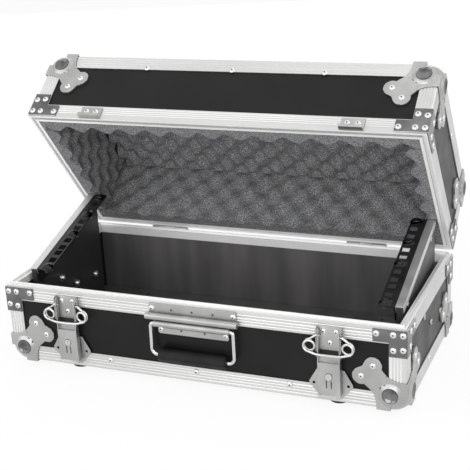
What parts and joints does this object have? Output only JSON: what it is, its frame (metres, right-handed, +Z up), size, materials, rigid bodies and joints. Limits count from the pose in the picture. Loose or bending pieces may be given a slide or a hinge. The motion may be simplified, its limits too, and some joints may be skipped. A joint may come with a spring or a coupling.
{
  "type": "rack case",
  "caption": "Low rack case for 19-inch gear: hinged foam-lined lid, sloping rack rails, ball corners, draw latches and a front handle.",
  "frame": {"origin": "centre of the floor panel's underside", "axes": "+X to the right along the case's length, +Y to the back where the lid is hinged, +Z up; the front with the latches and handle faces -Y"},
  "size_m": [0.5466, 0.3573, 0.3867],
  "materials": {
    "laminate": "black satin laminate bonded to both faces of plywood",
    "aluminium": "ribbed extrusion, clear anodised",
    "zinc": "pressed steel, bright zinc plating",
    "chrome": "bright plated steel",
    "black_steel": "black coated steel, semi-gloss",
    "rubber": "black moulded rubber",
    "foam": "dark grey egg-crate foam"
  },
  "bodies": {
    "case_base": {"base_floor": "laminate", "base_front_panel": "laminate", "base_back_panel": "laminate", "base_left_panel": "laminate", "base_right_panel": "laminate", "rack_board_left": "laminate", "rack_board_right": "laminate", "base_edge_frame": "aluminium", "base_rim_frame": "aluminium", "rack_channel_left": "aluminium", "rack_channel_right": "aluminium", "base_ball_corner_front_left": "zinc", "base_ball_corner_front_right": "zinc", "base_ball_corner_back_left": "zinc", "base_ball_corner_back_right": "zinc", "handle_upper_plate": "zinc", "handle_lower_plate": "zinc", "latch_base_left": "zinc", "latch_base_right": "zinc", "hinge_base_leaf_left": "zinc", "hinge_base_leaf_right": "zinc", "hinge_pin_left": "zinc", "hinge_pin_right": "zinc", "rack_strip_left": "black_steel", "rack_strip_right": "black_steel", "foot_front_left": "rubber", "foot_front_right": "rubber", "foot_back_left": "rubber", "foot_back_right": "rubber"},
    "case_lid": {"lid_top_panel": "laminate", "lid_front_panel": "laminate", "lid_back_panel": "laminate", "lid_left_panel": "laminate", "lid_right_panel": "laminate", "lid_edge_frame": "aluminium", "lid_rim_frame": "aluminium", "lid_ball_corner_front_left": "zinc", "lid_ball_corner_front_right": "zinc", "lid_ball_corner_back_left": "zinc", "lid_ball_corner_back_right": "zinc", "lid_keeper_left": "zinc", "lid_keeper_right": "zinc", "hinge_lid_leaf_left": "zinc", "hinge_lid_leaf_right": "zinc", "lid_foam_front": "foam", "lid_foam_back": "foam", "lid_foam_top": "foam", "lid_foam_left": "foam", "lid_foam_right": "foam"},
    "carry_handle": {"handle_bail": "chrome", "handle_grip": "rubber"},
    "lever_left": {"latch_lever_left": "zinc"},
    "wire_bail_left": {"latch_bail_left": "chrome"},
    "lock_left": {"latch_lock_left": "chrome"},
    "lever_right": {"latch_lever_right": "zinc"},
    "wire_bail_right": {"latch_bail_right": "chrome"},
    "lock_right": {"latch_lock_right": "chrome"}
  },
  "joints": [
    {"name": "lid_hinge", "type": "hinge", "parent": "case_base", "child": "case_lid", "pos_m": [0, 0.1307, 0.1045], "axis": [-1, 0, 0], "range_deg": [-52, 43], "deforming": ["lid_foam_left", "lid_foam_right"]},
    {"name": "handle_swing", "type": "hinge", "parent": "case_base", "child": "carry_handle", "pos_m": [0, -0.1327, 0.0765], "axis": [-1, 0, 0], "range_deg": [0, 120]},
    {"name": "latch_lever_left_hinge", "type": "hinge", "parent": "case_base", "child": "lever_left", "pos_m": [-0.1775, -0.1319, 0.0925], "axis": [-1, 0, 0], "range_deg": [0, 150]},
    {"name": "latch_bail_left_hinge", "type": "hinge", "parent": "lever_left", "child": "wire_bail_left", "pos_m": [-0.1775, -0.1319, 0.086], "axis": [1, 0, 0], "range_deg": [-170, 0]},
    {"name": "latch_lock_left_turn", "type": "hinge", "parent": "lever_left", "child": "lock_left", "pos_m": [-0.1775, -0.1373, 0.0355], "axis": [0, -1, 0], "range_deg": [0, 90]},
    {"name": "latch_lever_right_hinge", "type": "hinge", "parent": "case_base", "child": "lever_right", "pos_m": [0.1775, -0.1319, 0.0925], "axis": [-1, 0, 0], "range_deg": [0, 150]},
    {"name": "latch_bail_right_hinge", "type": "hinge", "parent": "lever_right", "child": "wire_bail_right", "pos_m": [0.1775, -0.1319, 0.086], "axis": [1, 0, 0], "range_deg": [-170, 0]},
    {"name": "latch_lock_right_turn", "type": "hinge", "parent": "lever_right", "child": "lock_right", "pos_m": [0.1775, -0.1373, 0.0355], "axis": [0, -1, 0], "range_deg": [0, 90]}
  ]
}
